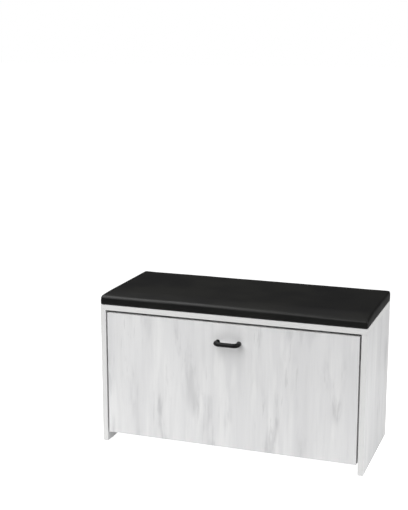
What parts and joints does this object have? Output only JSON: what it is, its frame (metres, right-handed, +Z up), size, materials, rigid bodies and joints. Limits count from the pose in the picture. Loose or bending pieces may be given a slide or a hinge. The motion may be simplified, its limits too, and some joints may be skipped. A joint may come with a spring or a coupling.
{
  "type": "entryway shoe bench",
  "caption": "Low entryway bench with a padded seat, a panel case and a drop-front door that tips a shoe rack out on two low pivots.",
  "frame": {"origin": "centre of the bounding box on the floor, handle included", "axes": "+X to the right of someone facing the door, -Y towards the front, +Z up"},
  "size_m": [0.8, 0.371, 0.46],
  "materials": {
    "oak_laminate": "matt",
    "hardboard": "matt",
    "white_board": "satin",
    "white_plastic": "satin",
    "faux_leather": "soft grain",
    "foam": "open cell",
    "plywood": "raw",
    "black_metal": "satin",
    "steel": "bright",
    "zinc": "zinc plated",
    "nylon": "matt",
    "beech": "raw"
  },
  "bodies": {
    "case": {"back_panel": "hardboard", "cam_bolt_front_left": "zinc", "cam_bolt_front_right": "zinc", "cam_bolt_rear_left": "zinc", "cam_bolt_rear_right": "zinc", "cam_lock_front_left": "zinc", "cam_lock_front_right": "zinc", "cam_lock_rear_left": "zinc", "cam_lock_rear_right": "zinc", "closed_stop_left": "nylon", "closed_stop_right": "nylon", "dowel_front_left": "beech", "dowel_front_right": "beech", "dowel_rear_left": "beech", "dowel_rear_right": "beech", "foot_glide_front_left": "nylon", "foot_glide_front_right": "nylon", "foot_glide_rear_left": "nylon", "foot_glide_rear_right": "nylon", "open_stop_left": "nylon", "open_stop_right": "nylon", "pivot_bush_left": "nylon", "pivot_bush_right": "nylon", "rail_cam_bolt_left": "zinc", "rail_cam_bolt_right": "zinc", "rail_cam_lock_left": "zinc", "rail_cam_lock_right": "zinc", "rail_dowel_left": "beech", "rail_dowel_right": "beech", "rear_rail": "oak_laminate", "seat_base": "plywood", "seat_cover": "faux_leather", "seat_foam": "foam", "seat_screw_front_left": "zinc", "seat_screw_front_right": "zinc", "seat_screw_rear_left": "zinc", "seat_screw_rear_right": "zinc", "side_panel_left": "oak_laminate", "side_panel_right": "oak_laminate", "top_panel": "oak_laminate"},
    "rack": {"bracket_left": "white_plastic", "bracket_right": "white_plastic", "bracket_screw_lower_left": "zinc", "bracket_screw_lower_right": "zinc", "bracket_screw_upper_left": "zinc", "bracket_screw_upper_right": "zinc", "divider_screw_left": "zinc", "divider_screw_right": "zinc", "divider_shelf": "white_board", "door_panel": "oak_laminate", "handle": "black_metal", "handle_screw_left": "zinc", "handle_screw_right": "zinc", "heel_rail": "steel", "lower_shelf": "white_board", "pivot_pin_left": "steel", "pivot_pin_right": "steel", "upper_shelf": "white_board"}
  },
  "joints": [
    {"name": "rack_tilt", "type": "hinge", "parent": "case", "child": "rack", "pos_m": [0, -0.1285, 0.12], "axis": [1, 0, 0], "range_deg": [0, 75]}
  ]
}
